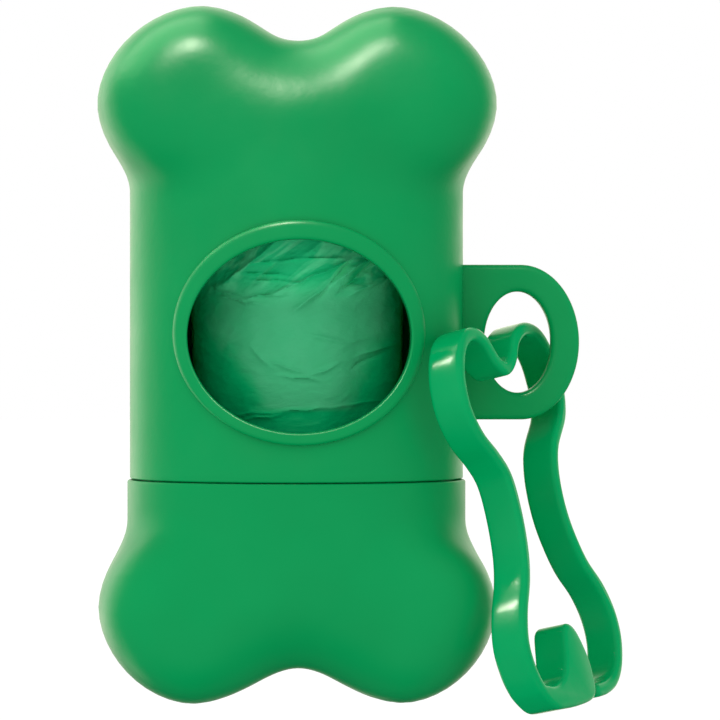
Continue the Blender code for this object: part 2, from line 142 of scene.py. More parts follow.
# --- Roll -------------------------------------------------------------------------------------
ROLL_BOTTOM_Z = 10.0 * MM
ROLL_LENGTH = 57.0 * MM
ROLL_RADIUS = 11.6 * MM
CORE_RADIUS = 5.0 * MM
CORE_WALL = 1.0 * MM
LOOSE_HALF_ANGLE = 78.0
LOOSE_LENGTH = 50.0 * MM
LOOSE_GAP = 0.42 * MM  # between the winding and the loose film at the front
LOOSE_BULGE = 1.6 * MM  # how much further its sides stand off
LAYER_STEP = 0.6 * MM  # between the turns that show on the roll's ends

# --- Clip -------------------------------------------------------------------------------------
CLIP_CENTRE = (27.95 * MM, -7.15 * MM, 22.9 * MM)
CLIP_LEAN = 13.4
CLIP_TURN = 60.0
CLIP_TIP = 2.0
STRIP_WIDTH = 4.5 * MM
STRIP_THICKNESS = 1.7 * MM
STRIP_EDGE = 0.62 * MM
OUTLINE_STEP = 0.22 * MM
SOFTENING_ROUNDS = 6

# Lines in the loop's own plane, in millimetres: (across, along). The frame is the middle of the
# strip from the springy strand's root to the head, the head is the outline of its hook, and the
# gate is the middle of the springy strand.
FRAME_LINE = (
    (13.12, 13.7), (13.2, 14.9), (12.8, 18.3), (10.8, 21.3), (7.3, 22.3), (4.0, 21.2),
    (1.9, 19.0), (-0.5, 18.0), (-2.8, 19.3), (-4.6, 21.8), (-7.4, 22.9), (-10.7, 21.7),
    (-12.9, 18.4), (-13.3, 14.5), (-11.7, 10.9), (-8.8, 8.0), (-6.9, 5.2), (-6.6, 1.0),
    (-7.3, -3.6), (-8.8, -7.0), (-11.4, -10.5), (-12.9, -14.0), (-12.6, -17.4), (-11.4, -19.8),
)
HEAD_OUTLINE = (
    (-10.6, -21.6), (-8.8, -22.7), (-6.0, -23.1), (-3.0, -23.35), (0.4, -23.4), (1.9, -23.1),
    (2.6, -22.2), (2.8, -20.6), (2.7, -18.7), (2.0, -16.6), (0.9, -14.6), (-0.2, -13.65),
    (-1.2, -13.5), (-2.2, -14.1), (-2.9, -15.7), (-3.6, -17.5), (-4.8, -19.1), (-6.6, -19.9),
    (-8.4, -19.9), (-9.8, -19.5),
)
GATE_LINE = (
    (13.17, 14.1), (12.85, 12.8), (11.6, 10.7), (8.0, 7.8), (6.45, 5.25), (5.75, 2.2),
    (5.85, -1.2), (6.8, -4.5), (8.35, -7.6), (11.0, -10.8), (12.5, -14.2), (12.5, -17.4),
    (11.0, -20.3), (8.8, -22.0), (6.2, -22.55), (3.3, -22.5),
)

# --- Colours, and where the film's tones change -----------------------------------------------
# Each plastic wavers a little between its dark and its light colour.
SHELL_DARK = (0.0, 0.335, 0.09)
SHELL_LIGHT = (0.0, 0.365, 0.10)
CLIP_DARK = (0.0, 0.385, 0.115)
CLIP_LIGHT = (0.0, 0.425, 0.13)
BOARD_DARK = (0.36, 0.26, 0.16)
BOARD_LIGHT = (0.48, 0.36, 0.24)
FILM_TIGHT = (0.0, 0.46, 0.155)
# The milky tone and its patch are partly the film's own milky look and partly a painted sheen where the
# window's light falls.
FILM_MILKY_SHEEN = (0.065, 0.50, 0.225)
# Both film tones painted paler for the top, as painted light where the rim shades the film.
FILM_TIGHT_PAINTED_LIT = (0.0, 0.60, 0.22)
FILM_MILKY_SHEEN_PAINTED_LIT = (0.10, 0.80, 0.36)
MILKY_SHEEN_X = 0.5 * MM  # middle of the milky patch
MILKY_SHEEN_FOOT_Z = (35.4 * MM, 36.4 * MM)
MILKY_SHEEN_SIDE_Z = (36.0 * MM, 47.0 * MM)
MILKY_SHEEN_HALF_WIDTH = (5.2 * MM, 10.4 * MM)  # at those two heights
MILKY_SHEEN_EDGE = 1.7 * MM
MILKY_SHEEN_WAVER = 0.8 * MM
STREAKED_Z = (48.5 * MM, 52.0 * MM)
# Heights over which the painted light at the film's top fades in.
PAINTED_LIGHT_Z = (47.6 * MM, 52.6 * MM)
CREASED_Z = (47.0 * MM, 51.0 * MM)

# --- Light, floor and camera ------------------------------------------------------------------
FILL_LIGHT = 0.92
FILL_BELOW = 0.08
FILL_FADE_Z = (-1.0, -0.65)  # on the unit sphere of directions, as are the next two
BACKDROP_Y = (0.4, 1.0)
BACKDROP_FOOT_Z = (-0.5, -0.1)
BACKDROP_GLOSS = 1.7
GLOSS_TINT = (1.0, 1.0, 0.8)
KEY_DIRECTION = (0.71, 0.70, -0.08)
KEY_STRENGTH = 0.43
KEY_ANGLE = 32  # degrees across, for soft shadows
# Each light that only shows in gloss: name, place, aim, size, power and the pieces it lights.
GLOSS_LIGHTS = (
    (
        "top_box", (-0.079, -0.165, 0.205), (-0.03, 0, 0.03), (0.08, 0.075), 1.9,
        ("shell_moulding",),
    ),
    (
        "overhead", (-0.155, 0.0, 0.22), (-0.04, 0, 0.0), (0.26, 0.30), 1.6,
        ("shell_moulding",),
    ),
    (
        "left_strip", (-0.386, 0.271, -0.04), (-0.027, 0, 0), (0.36, 0.70), 1.1,
        ("shell_moulding", "cap_moulding", "clip_loop", "clip_spring"),
    ),
    (
        "side_box", (-0.386, -0.041, 0.315), (0, 0, -0.02), (0.05, 0.07), 1.4,
        ("clip_loop", "clip_spring"),
    ),
)
FLOOR_DROP = 32.0 * MM
FLOOR_HALF_WIDTH = 4.0
CAMERA_LENS = 179.3
CAMERA_DISTANCE = 440 * MM
CAMERA_YAW = 2.3  # degrees
CAMERA_AIM = (7.78 * MM, 0.0, 41.8 * MM)


# --- Meshes -----------------------------------------------------------------------------------
def object_from(name, points, faces, smooth_angle=35.0, recalculate=True):
    """A smooth object whose edges stay sharp where they turn by more than smooth_angle degrees."""
    mesh = bpy.data.meshes.new(name)
    mesh.from_pydata(np.asarray(points, float).tolist(), [], [tuple(map(int, f)) for f in faces])
    work = bmesh.new()
    work.from_mesh(mesh)
    bmesh.ops.remove_doubles(work, verts=work.verts, dist=1e-7)
    if recalculate:
        bmesh.ops.recalc_face_normals(work, faces=work.faces)
    work.to_mesh(mesh)
    work.free()
    mesh.shade_smooth()
    mesh.set_sharp_from_angle(angle=math.radians(smooth_angle))
    obj = bpy.data.objects.new(name, mesh)
    bpy.context.scene.collection.objects.link(obj)
    return obj


def loops_between(rows, count, closed_rows=False):
    """Faces of a grid of rings, each of count points."""
    faces = []
    for r in range(rows if closed_rows else rows - 1):
        s = (r + 1) % rows
        for k in range(count):
            n = (k + 1) % count
            faces.append((r * count + k, r * count + n, s * count + n, s * count + k))
    return faces


def join(target, others):
    """Adds the others' meshes to the target's, and removes the others."""
    for other in others:
        work = bmesh.new()
        work.from_mesh(target.data)
        work.from_mesh(other.data)
        work.to_mesh(target.data)
        work.free()
        bpy.data.objects.remove(other, do_unlink=True)


def cut(target, cutter):
    """Cuts the cutter out of the target, and removes the cutter."""
    modifier = target.modifiers.new("cut", "BOOLEAN")
    modifier.object = cutter
    modifier.operation = "DIFFERENCE"
    modifier.solver = "EXACT"
    graph = bpy.context.evaluated_depsgraph_get()
    mesh = bpy.data.meshes.new_from_object(target.evaluated_get(graph))
    target.modifiers.clear()
    target.data = mesh
    bpy.data.objects.remove(cutter, do_unlink=True)


def smooth_line(points, steps):
    """A curve through the points, with this many steps between each two."""
    points = np.asarray(points, float)
    padded = np.vstack([2 * points[0] - points[1], points, 2 * points[-1] - points[-2]])
    line = []
    for a, b, c, d in zip(padded, padded[1:], padded[2:], padded[3:]):
        for t in np.arange(steps) / steps:
            line.append(
                0.5 * (2 * b + (c - a) * t + (2 * a - 5 * b + 4 * c - d) * t**2
                       + (3 * b - a - 3 * c + d) * t**3)
            )
    line.append(points[-1])
    return np.array(line)


# --- Body field -------------------------------------------------------------------------------
# A field is below zero inside its shape, and grows by about the distance outwards.
def soft_least(a, b, softness):
    """The smaller of two fields, rounded off where they are nearly equal."""
    near = np.maximum(softness - np.abs(a - b), 0) / softness
    return np.minimum(a, b) - near * near * softness / 4


def lobe_field(p, centre_x, centre_z, half_width, half_height):
    across = np.abs(p[..., 0] - centre_x) / half_width
    up = np.abs(p[..., 2] - centre_z) / half_height
    deep = np.abs(p[..., 1]) / LOBE_DEPTH
    seen = (across**LOBE_POWER + up**LOBE_POWER) ** (LOBE_FRONT_POWER / LOBE_POWER)
    return ((seen + deep**LOBE_FRONT_POWER) ** (1 / LOBE_FRONT_POWER) - 1) * half_width


def column_field(p, end_z, dip_height, dip_width, grow, up):
    """The oval column, wider by grow. Its end, upper or lower by up, dips to end_z in the middle."""
    oval = (
        (np.abs(p[..., 0]) / (HALF_WIDTH + grow)) ** COLUMN_POWER
        + (np.abs(p[..., 1]) / (HALF_DEPTH + grow)) ** COLUMN_POWER
    ) ** (1 / COLUMN_POWER)
    side = (oval - 1) * HALF_DEPTH
    beside = (p[..., 0] / dip_width) ** 2
    end = (p[..., 2] - end_z) * up - dip_height * beside / (1 + beside)
    inside = np.maximum(side, end)
    corner = np.hypot(np.maximum(side + END_ROUNDING, 0), np.maximum(end + END_ROUNDING, 0))
    return np.where(
        (side > -END_ROUNDING) & (end > -END_ROUNDING), corner - END_ROUNDING, inside
    )


def body_field(p, lobe, column):
    """Two lobes, mirrored about the middle, run softly into a column."""
    lobes = soft_least(lobe_field(p, *lobe), lobe_field(p, -lobe[0], *lobe[1:]), LOBE_BLEND)
    return soft_least(lobes, column_field(p, *column), NECK_BLEND)


def upper_field(p):
    lobe = (UPPER_LOBE_X, UPPER_LOBE_Z, UPPER_LOBE_HALF_WIDTH, UPPER_LOBE_HALF_HEIGHT)
    return body_field(p, lobe, (UPPER_END_Z, UPPER_DIP_HEIGHT, UPPER_DIP_WIDTH, 0.0, 1))


def lower_field(p):
    lobe = (LOWER_LOBE_X, LOWER_LOBE_Z, LOWER_LOBE_HALF_WIDTH, LOWER_LOBE_HALF_HEIGHT)
    return body_field(p, lobe, (LOWER_END_Z, LOWER_DIP_HEIGHT, LOWER_DIP_WIDTH, CAP_PROUD, -1))


def reach_of(field, origins, directions, level):
    """How far each ray goes before the field on its way reaches the level."""
    low = np.zeros(len(origins))
    high = np.full(len(origins), LONGEST_REACH)
    for _ in range(SEARCH_STEPS):
        middle = (low + high) / 2
        inside = field(origins + directions * middle[:, None]) < level
        low = np.where(inside, middle, low)
        high = np.where(inside, high, middle)
    return low


def disc_of(x, y):
    """Where a place in a square moves to when the square is rounded into a disc."""
    if x == 0 and y == 0:
        return (0.0, 0.0)
    if abs(x) >= abs(y):
        turn = math.pi / 4 * y / x
        return (x * math.cos(turn), x * math.sin(turn))
    turn = math.pi / 4 * x / y
    return (y * math.sin(turn), y * math.cos(turn))


def ring_angles(side):
    """Directions to points spread evenly round the disc's border."""
    steps = np.arange(side) / side * 2 - 1
    border = [(1, t) for t in steps] + [(-t, 1) for t in steps]
    border += [(-1, -t) for t in steps] + [(t, -1) for t in steps]
    return np.array([disc_of(x, y) for x, y in border])


def wall_row(field, side, z, level):
    """A ring round the wall at one height, where the field is at the level."""
    around = ring_angles(side)
    origins = np.tile([0.0, 0.0, z], (len(around), 1))
    directions = np.column_stack([around, np.zeros(len(around))])
    return origins + directions * reach_of(field, origins, directions, level)[:, None]


def dome_grid(field, side, base_z, up, level):
    """The rounded end, as a square grid of points spread over a half sphere of directions."""
    points = []
    for j in range(side + 1):
        for i in range(side + 1):
            x, y = disc_of(i / side * 2 - 1, j / side * 2 - 1)
            out = math.hypot(x, y)
            level_share = math.sin(out * math.pi / 2) / max(out, 1e-9)
            points.append((x * level_share, y * level_share, math.cos(out * math.pi / 2) * up))
    directions = np.array(points)
    origins = np.tile([0.0, 0.0, base_z], (len(directions), 1))
    return origins + directions * reach_of(field, origins, directions, level)[:, None]


def skin(rows, dome, side):
    """The points and faces of a wall made of rings, closed by a dome."""
    count = 4 * side
    row = side + 1
    points = np.vstack(rows + [dome])
    faces = loops_between(len(rows), count)
    start = len(rows) * count
    last = start - count
    border = [start + j * row + side for j in range(side)]
    border += [start + side * row + side - i for i in range(side)]
    border += [start + (side - j) * row for j in range(side)]
    border += [start + i for i in range(side)]
    for k in range(count):
        n = (k + 1) % count
        faces.append((last + k, last + n, border[n], border[k]))
    for j in range(side):
        for i in range(side):
            a = start + j * row + i
            faces.append((a, a + 1, a + row + 1, a + row))
    return points, faces


def shell_of(name, field, outer, inner, base_z, up, wall):
    """A shell of two skins, each a list of (height, level) rings, joined at their first rings."""
    side = BODY_CELLS
    outer_rows = [wall_row(field, side, z, level) for z, level in outer]
    inner_rows = [wall_row(field, side, z, level) for z, level in inner]
    outer_points, outer_faces = skin(outer_rows, dome_grid(field, side, base_z, up, 0.0), side)
    inner_points, inner_faces = skin(inner_rows, dome_grid(field, side, base_z, up, -wall), side)
    shift = len(outer_points)
    faces = outer_faces + [tuple(i + shift for i in face) for face in inner_faces]
    count = 4 * side
    for k in range(count):
        n = (k + 1) % count
        faces.append((k, n, shift + n, shift + k))
    return object_from(name, np.vstack([outer_points, inner_points]), faces)


def make_shell():
    """The upper moulding, with its spigot, window, rim and lug."""
    foot_z = SEAM_Z + SEAM_GAP
    spigot_z = SEAM_Z - SPIGOT_LENGTH
    inner_level = -(SPIGOT_SET_IN + SPIGOT_WALL)
    outer = [(spigot_z, -SPIGOT_SET_IN - SPIGOT_CHAMFER)]
    outer += [(spigot_z + SPIGOT_CHAMFER_HEIGHT, -SPIGOT_SET_IN), (foot_z, -SPIGOT_SET_IN)]
    outer += [
        (foot_z + EDGE_SOFTENING * (1 - math.cos(t)), -EDGE_SOFTENING * (1 - math.sin(t)))
        for t in np.linspace(0, math.pi / 2, 5)
    ]
    outer += [(z, 0.0) for z in np.linspace(foot_z + EDGE_SOFTENING, UPPER_DOME_Z, 74)[1:-1]]
    inner = [(spigot_z, inner_level)]
    inner += [(z, inner_level) for z in np.linspace(foot_z, UPPER_DOME_Z, 40)[:-1]]
    shell = shell_of("shell_moulding", upper_field, outer, inner, UPPER_DOME_Z, 1, -inner_level)
    cut(shell, window_cutter(WINDOW_HALF_WIDTH + RIM_COVER, WINDOW_HALF_HEIGHT + RIM_COVER))
    join(shell, [make_rim(), make_lug()])
    return shell


def window_cutter(half_width, half_height):
    """An oval block that opens the window in the front wall."""
    count = 160
    turns = np.linspace(0, 2 * math.pi, count, endpoint=False)
    x = half_width * np.cos(turns)
    z = WINDOW_Z + half_height * np.sin(turns)
    before_body = -HALF_DEPTH - 5 * MM
    behind_wall = -6 * MM
    front = np.column_stack([x, np.full(count, before_body), z])
    back = np.column_stack([x, np.full(count, behind_wall), z])
    faces = loops_between(2, count) + [tuple(range(count)), tuple(reversed(range(count, 2 * count)))]
    return object_from("window_cutter", np.vstack([front, back]), faces)


def front_depth(x, z, level):
    """The Y of the body's front at each x and z, where the field is at the level."""
    origins = np.column_stack([x, np.zeros(len(x)), z])
    directions = np.tile([0.0, -1.0, 0.0], (len(x), 1))
    return -reach_of(upper_field, origins, directions, level)


def make_rim():
    """The raised band round the window: a profile of (outward, height above the skin), in mm."""
    round_in = 0.34
    round_out = 0.5
    round_back = 0.25
    top = RIM_HEIGHT / MM
    wide = 1.6
    flange = 1.2
    sunk = 0.5
    deep = -(SPIGOT_SET_IN + SPIGOT_WALL) / MM
    back = deep - 0.06
    profile = [(flange, deep + 0.15), (flange, back), (round_back, back)]
    profile += [
        (round_back * (1 - math.sin(t)), back + round_back * (1 - math.cos(t)))
        for t in (0.5, 1.0, 1.57)
    ]
    profile += [(0.0, h) for h in np.linspace(deep + 0.5, top - round_in, 7)[:-1]]
    profile += [
        (round_in - round_in * math.cos(t), top - round_in + round_in * math.sin(t))
        for t in np.linspace(0, math.pi / 2, 8)
    ]
    profile += [(s, top) for s in np.linspace(round_in, wide - round_out, 5)[1:-1]]
    profile += [
        (wide - round_out + round_out * math.sin(t), top - round_out + round_out * math.cos(t))
        for t in np.linspace(0, math.pi / 2, 8)
    ]
    profile += [(wide, h) for h in np.linspace(top - round_out, -sunk, 6)[1:]]
    profile += [(wide - 0.4, -sunk - 0.1)]
    turns = np.linspace(0, 2 * math.pi, 256, endpoint=False)
    rows = []
    for out, height in profile:
        share = out / wide
        x = (WINDOW_HALF_WIDTH + (RIM_HALF_WIDTH - WINDOW_HALF_WIDTH) * share) * np.cos(turns)
        z = (WINDOW_HALF_HEIGHT + (RIM_HALF_HEIGHT - WINDOW_HALF_HEIGHT) * share) * np.sin(turns)
        z += WINDOW_Z + (RIM_Z - WINDOW_Z) * share
        rows.append(np.column_stack([x, front_depth(x, z, height * MM), z]))
    return object_from("rim", np.vstack(rows), loops_between(len(rows), len(turns), True))


def make_lug():
    """The flat tab, as one section swept all round between its oval eye and its outline."""
    root = [(LUG_ROOT_X, t * LUG_HALF_HEIGHT) for t in np.linspace(-1, 1, 25)[:-1]]
    top = [(x, LUG_HALF_HEIGHT) for x in np.linspace(LUG_ROOT_X, LUG_STRAIGHT_X, 17)[:-1]]
    end = [
        (LUG_STRAIGHT_X + LUG_END_RADIUS * math.sin(t), LUG_HALF_HEIGHT * math.cos(t))
        for t in np.linspace(0, math.pi, 97)
    ]
    below = [(x, -LUG_HALF_HEIGHT) for x in np.linspace(LUG_STRAIGHT_X, LUG_ROOT_X, 17)[1:-1]]
    outline = np.array(root + top + end + below)
    middle = np.array([EYE_X, 0.0])
    away = outline - middle
    turns = np.arctan2(away[:, 1] / EYE_HALF_HEIGHT, away[:, 0] / EYE_HALF_WIDTH)
    eye = middle + np.column_stack([EYE_HALF_WIDTH * np.cos(turns), EYE_HALF_HEIGHT * np.sin(turns)])
    out = outline - eye
    out /= np.linalg.norm(out, axis=1)[:, None]
    half = LUG_HALF_THICKNESS
    edge = LUG_EDGE
    arc = np.linspace(0, math.pi / 2, 7)
    section = [(eye + out * edge * (1 - math.cos(t)), half - edge * (1 - math.sin(t))) for t in arc]
    section += [(eye + (outline - eye) * s, half) for s in (0.35, 0.5, 0.65)]
    section += [(outline - out * edge * (1 - math.sin(t)), half - edge * (1 - math.cos(t))) for t in arc]
    section += [(loop, -y) for loop, y in reversed(section)]
    points = [
        np.column_stack([loop[:, 0], np.full(len(outline), -y), LUG_Z + loop[:, 1]])
        for loop, y in section
    ]
    return object_from("lug", np.vstack(points), loops_between(len(section), len(outline), True))


def make_cap():
    """The lower moulding, with a rebate that takes the spigot."""
    rebate_z = SEAM_Z - REBATE_DEPTH
    rebate_level = -(SPIGOT_SET_IN - FIT_GAP + CAP_PROUD)
    inner_level = -WALL - CAP_PROUD
    soft = EDGE_SOFTENING * 1.3
    outer = [
        (SEAM_Z - soft * (1 - math.cos(t)), -soft * (1 - math.sin(t)))
        for t in np.linspace(0, math.pi / 2, 6)
    ]
    outer += [(z, 0.0) for z in np.linspace(SEAM_Z - soft, LOWER_DOME_Z, 22)[1:-1]]
    inner = [(SEAM_Z, rebate_level), (rebate_z, rebate_level), (rebate_z, inner_level)]
    inner += [(z, inner_level) for z in np.linspace(rebate_z, LOWER_DOME_Z, 10)[1:-1]]
    return shell_of("cap_moulding", lower_field, outer, inner, LOWER_DOME_Z, -1, -inner_level)


# --- Clip -------------------------------------------------------------------------------------
def clip_matrix():
    """Takes the loop's own axes (across, along, through) to the body's frame."""
    lean = math.radians(CLIP_LEAN)
    turn = math.radians(CLIP_TURN)
    tip = math.radians(CLIP_TIP)
    upright = Vector((-math.sin(lean), 0, math.cos(lean)))
    side = Vector((math.cos(lean), 0, math.sin(lean)))
    back = Vector((0, 1, 0))
    along = upright * math.cos(tip) + back * math.sin(tip)
    level_back = back * math.cos(tip) - upright * math.sin(tip)
    across = side * math.cos(turn) + level_back * math.sin(turn)
    through = across.cross(along)
    axes = Matrix([[across[i], along[i], through[i]] for i in range(3)])
    return Matrix.Translation(CLIP_CENTRE) @ axes.to_4x4()


def strip_sides(line, thickness):
    """The two sides of a strip that follows a middle line."""
    along = np.gradient(line, axis=0)
    along /= np.linalg.norm(along, axis=1)[:, None]
    across = np.stack([along[:, 1], -along[:, 0]], axis=1)
    return line - across * thickness / 2, line + across * thickness / 2


def round_end(start, end):
    """A half circle from start to end, on the right of the way between them."""
    middle = (start + end) / 2
    out = start - middle
    side = np.array([out[1], -out[0]])
    return [middle + out * math.cos(t) - side * math.sin(t) for t in np.linspace(0, math.pi, 9)[1:-1]]


def even_outline(points, step):
    """The closed outline read again at equal steps, so that its offsets stay even."""
    closed = np.vstack([points, points[:1]])
    length = np.concatenate([[0], np.cumsum(np.linalg.norm(np.diff(closed, axis=0), axis=1))])
    at = np.linspace(0, length[-1], int(length[-1] / step), endpoint=False)
    return np.column_stack([np.interp(at, length, closed[:, i]) for i in (0, 1)])


def soften(points, rounds):
    for _ in range(rounds):
        points = (np.roll(points, 1, 0) + 2 * points + np.roll(points, -1, 0)) / 4
    return points


def bar_of(name, outline):
    """A bar of the strip's width from an outline in the loop's plane, with its long edges rounded."""
    outline = soften(even_outline(np.asarray(outline) * MM, OUTLINE_STEP), SOFTENING_ROUNDS)
    ahead = np.roll(outline, -1, 0) - np.roll(outline, 1, 0)
    ahead /= np.linalg.norm(ahead, axis=1)[:, None]
    inward = np.column_stack([-ahead[:, 1], ahead[:, 0]])
    x, y = outline[:, 0], outline[:, 1]
    if (x * np.roll(y, -1) - y * np.roll(x, -1)).sum() < 0:
        inward = -inward
    half = STRIP_WIDTH / 2
    rounding = [
        (outline + inward * STRIP_EDGE * (1 - math.sin(t)), half - STRIP_EDGE * (1 - math.cos(t)))
        for t in np.linspace(0, math.pi / 2, 7)
    ]
    levels = rounding + [(outline, h) for h in np.linspace(half - STRIP_EDGE, -half + STRIP_EDGE, 5)[1:-1]]
    levels += [(loop, -h) for loop, h in reversed(rounding)]
    points = [np.column_stack([loop, np.full(len(outline), h)]) for loop, h in levels]
    count = len(outline)
    faces = loops_between(len(levels), count)
    last = (len(levels) - 1) * count
    faces += [tuple(range(count)), tuple(last + k for k in reversed(range(count)))]
    obj = object_from(name, np.vstack(points), faces)
    obj.data.transform(clip_matrix())
    return obj


def make_clip():
    """The loop with its hooked head, and the springy strand."""
    line = smooth_line(FRAME_LINE, 12)
    left, right = strip_sides(line, STRIP_THICKNESS / MM)
    head = smooth_line([right[-1], *HEAD_OUTLINE, left[-1]], 8)[1:-1]
    loop = bar_of("clip_loop", np.vstack([right, head, left[::-1]]))
    line = smooth_line(GATE_LINE, 12)
    left, right = strip_sides(line, STRIP_THICKNESS / MM)
    tip = round_end(right[-1], left[-1])
    root = round_end(left[0], right[0])
    spring = bar_of("clip_spring", np.vstack([right, tip, left[::-1], root]))
    return loop, spring


# --- Roll -------------------------------------------------------------------------------------
def ripple(x, y, z, size):
    """Smooth noise from -1 to 1 at a place given in millimetres."""
    return noise.noise(Vector((x, y, z)) / size)


def crease(x, y, z, size):
    """Noise with sharp ridges, from 0 in the hollows to 1 on the ridges."""
    return 1 - min(1.0, 2.2 * abs(ripple(x, y, z, size)))


def ease(t):
    t = min(max(t, 0.0), 1.0)
    return t * t * (3 - 2 * t)


def winding_radius(turn, z):
    """The wound film is uneven, and is drawn in a little below the middle of the roll."""
    height = z / MM
    drawn_in = 0.9 * ease((39.0 - height) / 8) * ease((height - 12.0) / 12)
    radius = ROLL_RADIUS / MM - 0.3 - drawn_in
    place = (radius * math.cos(turn), radius * math.sin(turn), height)
    radius += 0.16 * ripple(*place, 5.0) + 0.05 * crease(place[0], place[1], place[2] * 1.8, 2.6)
    return radius * MM


def make_winding():
    """The wound film, whose turns show on the roll's ends."""
    steps = 220
    turns = np.linspace(0, 2 * math.pi, steps, endpoint=False)
    set_in = 0.35 * MM
    edge = 0.3 * MM
    bottom = ROLL_BOTTOM_Z + set_in
    top = ROLL_BOTTOM_Z + ROLL_LENGTH - set_in
    inner = CORE_RADIUS + FIT_GAP

    def end_ring(share, z, way):
        ring = []
        for t in turns:
            radius = inner + (winding_radius(t, z) - 0.25 * MM - inner) * share
            layer = radius / LAYER_STEP + t / math.tau
            lift = 0.2 * math.sin(layer * math.tau) + 0.22 * ripple(radius / MM * 4, t * 2.5, way * 9, 1.7)
            ring.append((radius * math.cos(t), radius * math.sin(t), z + way * lift * MM))
        return ring

    rows = [end_ring(share, bottom, -1) for share in np.linspace(0, 1, 60)]
    for z in np.linspace(bottom + edge, top - edge, 130):
        rows.append([
            (winding_radius(t, z) * math.cos(t), winding_radius(t, z) * math.sin(t), z) for t in turns
        ])
    rows += [end_ring(share, top, 1) for share in np.linspace(1, 0, 60)]
    return object_from("film_winding", np.vstack(rows), loops_between(len(rows), steps, True))


# Folds in the loose film: (x, z) at each end, width and height, all in millimetres.
FOLDS = (
    (-9.2, 50.4, -1.2, 57.0, 0.75, 0.6), (-5.8, 50.8, 0.6, 56.6, 0.55, -0.35),
    (0.6, 54.2, 4.4, 57.4, 0.6, 0.5), (-3.2, 49.6, 6.4, 54.0, 0.26, 0.6),
    (-0.8, 47.6, 9.0, 54.6, 0.5, 0.9), (1.8, 48.8, 6.2, 53.6, 0.3, -0.75),
    (5.0, 50.0, 9.0, 53.4, 0.28, -0.7), (5.8, 49.4, 10.2, 52.0, 0.4, 0.6),
    (-9.2, 50.4, -6.0, 49.0, 0.2, 0.5), (-6.2, 49.2, -0.8, 49.8, 0.16, 0.44),
    (-8.8, 49.4, -4.4, 48.4, 0.18, 0.44), (-5.2, 53.5, 5.6, 54.1, 0.15, 0.34),
    (-7.0, 52.3, -1.0, 51.8, 0.14, 0.34), (-6.4, 51.4, 0.4, 51.0, 0.14, 0.3),
    (0.8, 44.9, 5.2, 43.9, 0.34, 0.36), (5.0, 43.9, 8.2, 44.2, 0.26, 0.28),
    (7.2, 42.3, 10.6, 43.9, 0.22, 0.42), (6.6, 40.9, 9.6, 42.6, 0.2, -0.38),
    (-3.6, 41.6, 0.6, 40.2, 0.22, 0.36), (-2.4, 39.9, 2.6, 39.3, 0.18, 0.36),
    (-5.6, 43.2, -3.4, 41.0, 0.26, 0.36), (1.4, 39.9, 4.4, 41.2, 0.2, 0.36),
    (-7.4, 35.2, 3.6, 36.1, 0.2, 0.32), (3.4, 36.1, 9.6, 36.9, 0.18, 0.18),
    (-6.4, 34.6, -1.6, 35.4, 0.18, 0.26),
)


def fold_height(x, z):
    """How far the folds lift the loose film at a place, in millimetres."""
    total = 0.0
    for x0, z0, x1, z1, width, height in FOLDS:
        dx, dz = x1 - x0, z1 - z0
        length = math.hypot(dx, dz)
        along = ((x - x0) * dx + (z - z0) * dz) / length
        if not -1.5 < along < length + 1.5:
            continue
        away = ((x - x0) * dz - (z - z0) * dx) / length
        away += 0.25 * ripple(x, z, 4.0, 2.2)
        if abs(away) > 5 * width:
            continue
        taper = ease((along + 1.0) / 2.5) * ease((length + 1.0 - along) / 2.5)
        total += height * taper * math.exp(-abs(away) / width)
    return total


def make_loose_film():
    """The loose end of the roll: one layer of film, folded and creased, round the roll's front."""
    across = 190
    up = 340
    middle = ROLL_BOTTOM_Z / MM + ROLL_LENGTH / MM / 2
    points = []
    for j in range(up + 1):
        z = middle + (j / up - 0.5) * LOOSE_LENGTH / MM
        for i in range(across + 1):
            share = i / across * 2 - 1
            turn = math.radians(share * LOOSE_HALF_ANGLE - 90)
            radius = (winding_radius(turn, z * MM) + LOOSE_GAP) / MM
            x = radius * math.cos(turn)
            off = LOOSE_BULGE / MM * ease((abs(share) - 0.45) / 0.5)
            radius += off * (0.5 + 0.5 * ease((z - 33) / 12))
            radius += fold_height(x, z) + 0.12 * ripple(x, z, 1.0, 4.2)
            radius += 0.03 * crease(x * 0.7, z * 1.5, 2.0, 1.9) + 0.015 * crease(x, z * 1.6, 7.0, 0.8)
            radius -= 0.2 * ease((abs(share) - 0.9) / 0.1)
            points.append((radius * math.cos(turn), radius * math.sin(turn), z))
    faces = []
    row = across + 1
    for j in range(up):
        for i in range(across):
            a = j * row + i
            faces.append((a, a + 1, a + row + 1, a + row))
    return object_from("loose_film", np.array(points) * MM, faces, smooth_angle=80)


def make_core():
    """The cardboard tube in the middle of the roll."""
    rows = []
    steps = 96
    turns = np.linspace(0, 2 * math.pi, steps, endpoint=False)
    outer = CORE_RADIUS - 0.02 * MM
    inner = CORE_RADIUS - CORE_WALL
    bottom = ROLL_BOTTOM_Z
    top = ROLL_BOTTOM_Z + ROLL_LENGTH
    edge = 0.15 * MM
    profile = [(outer - edge, bottom), (outer, bottom + edge)]
    profile += [(outer, z) for z in np.linspace(bottom, top, 30)[1:-1]]
    profile += [(outer, top - edge), (outer - edge, top), (inner + edge, top), (inner, top - edge)]
    profile += [(inner, z) for z in np.linspace(top, bottom, 30)[1:-1]]
    profile += [(inner, bottom + edge), (inner + edge, bottom)]
    for radius, z in profile:
        rows.append(np.column_stack([radius * np.cos(turns), radius * np.sin(turns), np.full(steps, z)]))
    return object_from("board_core", np.vstack(rows), loops_between(len(rows), steps, True))


# --- Materials --------------------------------------------------------------------------------
def new_material(name):
    material = bpy.data.materials.new(name)
    material.use_nodes = True
    return material, material.node_tree, material.node_tree.nodes["Principled BSDF"]


def add(tree, kind, **settings):
    node = tree.nodes.new(kind)
    for key, value in settings.items():
        if hasattr(node, key):
            setattr(node, key, value)
        else:
            node.inputs[key.replace("_", " ")].default_value = value
    return node


